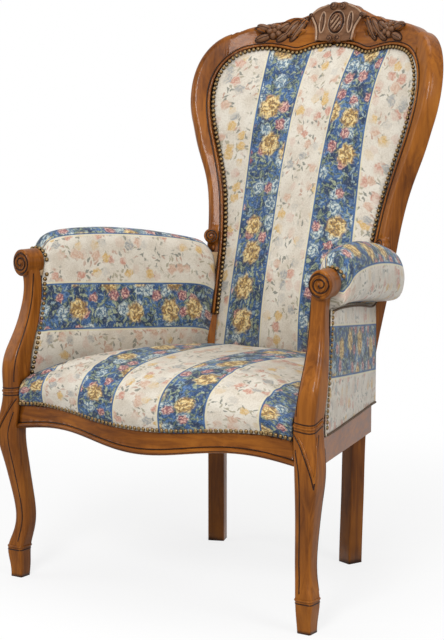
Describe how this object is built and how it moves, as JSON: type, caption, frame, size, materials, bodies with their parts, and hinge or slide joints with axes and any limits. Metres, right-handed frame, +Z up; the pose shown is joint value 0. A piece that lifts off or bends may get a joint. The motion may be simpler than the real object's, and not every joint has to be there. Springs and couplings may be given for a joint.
{
  "type": "upholstered armchair",
  "caption": "High-backed upholstered armchair with a carved walnut show frame, cabriole front legs, scrolled arm posts, padded arms, sprung seat and striped floral cover.",
  "frame": {"origin": "on the floor, under the middle of the chair's box", "axes": "+Z up, +Y towards the chair's back, so the sitter faces -Y, and +X to the sitter's left"},
  "size_m": [0.7194, 0.7644, 1.1212],
  "materials": {
    "show_wood": "glossy reddish walnut with a darker glaze in the carving",
    "frame_wood": "plain sawn beech, unfinished",
    "cover": "satin jacquard in cream and blue floral stripes",
    "webbing": "woven jute",
    "canvas": "plain hessian",
    "dust_cloth": "thin black cambric",
    "spring_steel": "bare drawn wire"
  },
  "bodies": {
    "root": {"crest_rail": "show_wood", "front_seat_rail": "show_wood", "front_leg_right": "show_wood", "front_leg_left": "show_wood", "rear_post_right": "show_wood", "rear_post_left": "show_wood", "side_seat_rail_right": "show_wood", "side_seat_rail_left": "show_wood", "rear_seat_rail": "show_wood", "lower_back_rail": "frame_wood", "arm_rail_right": "frame_wood", "arm_rail_left": "frame_wood", "front_corner_block_right": "frame_wood", "front_corner_block_left": "frame_wood", "rear_corner_block_right": "frame_wood", "rear_corner_block_left": "frame_wood", "seat_rail_dowels": "frame_wood", "back_frame_dowels": "frame_wood", "arm_rail_dowels": "frame_wood", "seat_pad": "cover", "back_pad": "cover", "arm_pad_right": "cover", "arm_pad_left": "cover", "outside_arm_panel_right": "cover", "outside_arm_panel_left": "cover", "outside_back_panel": "cover", "seat_webbing": "webbing", "back_webbing": "webbing", "spring_canvas": "canvas", "dust_cover": "dust_cloth", "seat_springs": "spring_steel"}
  },
  "joints": []
}
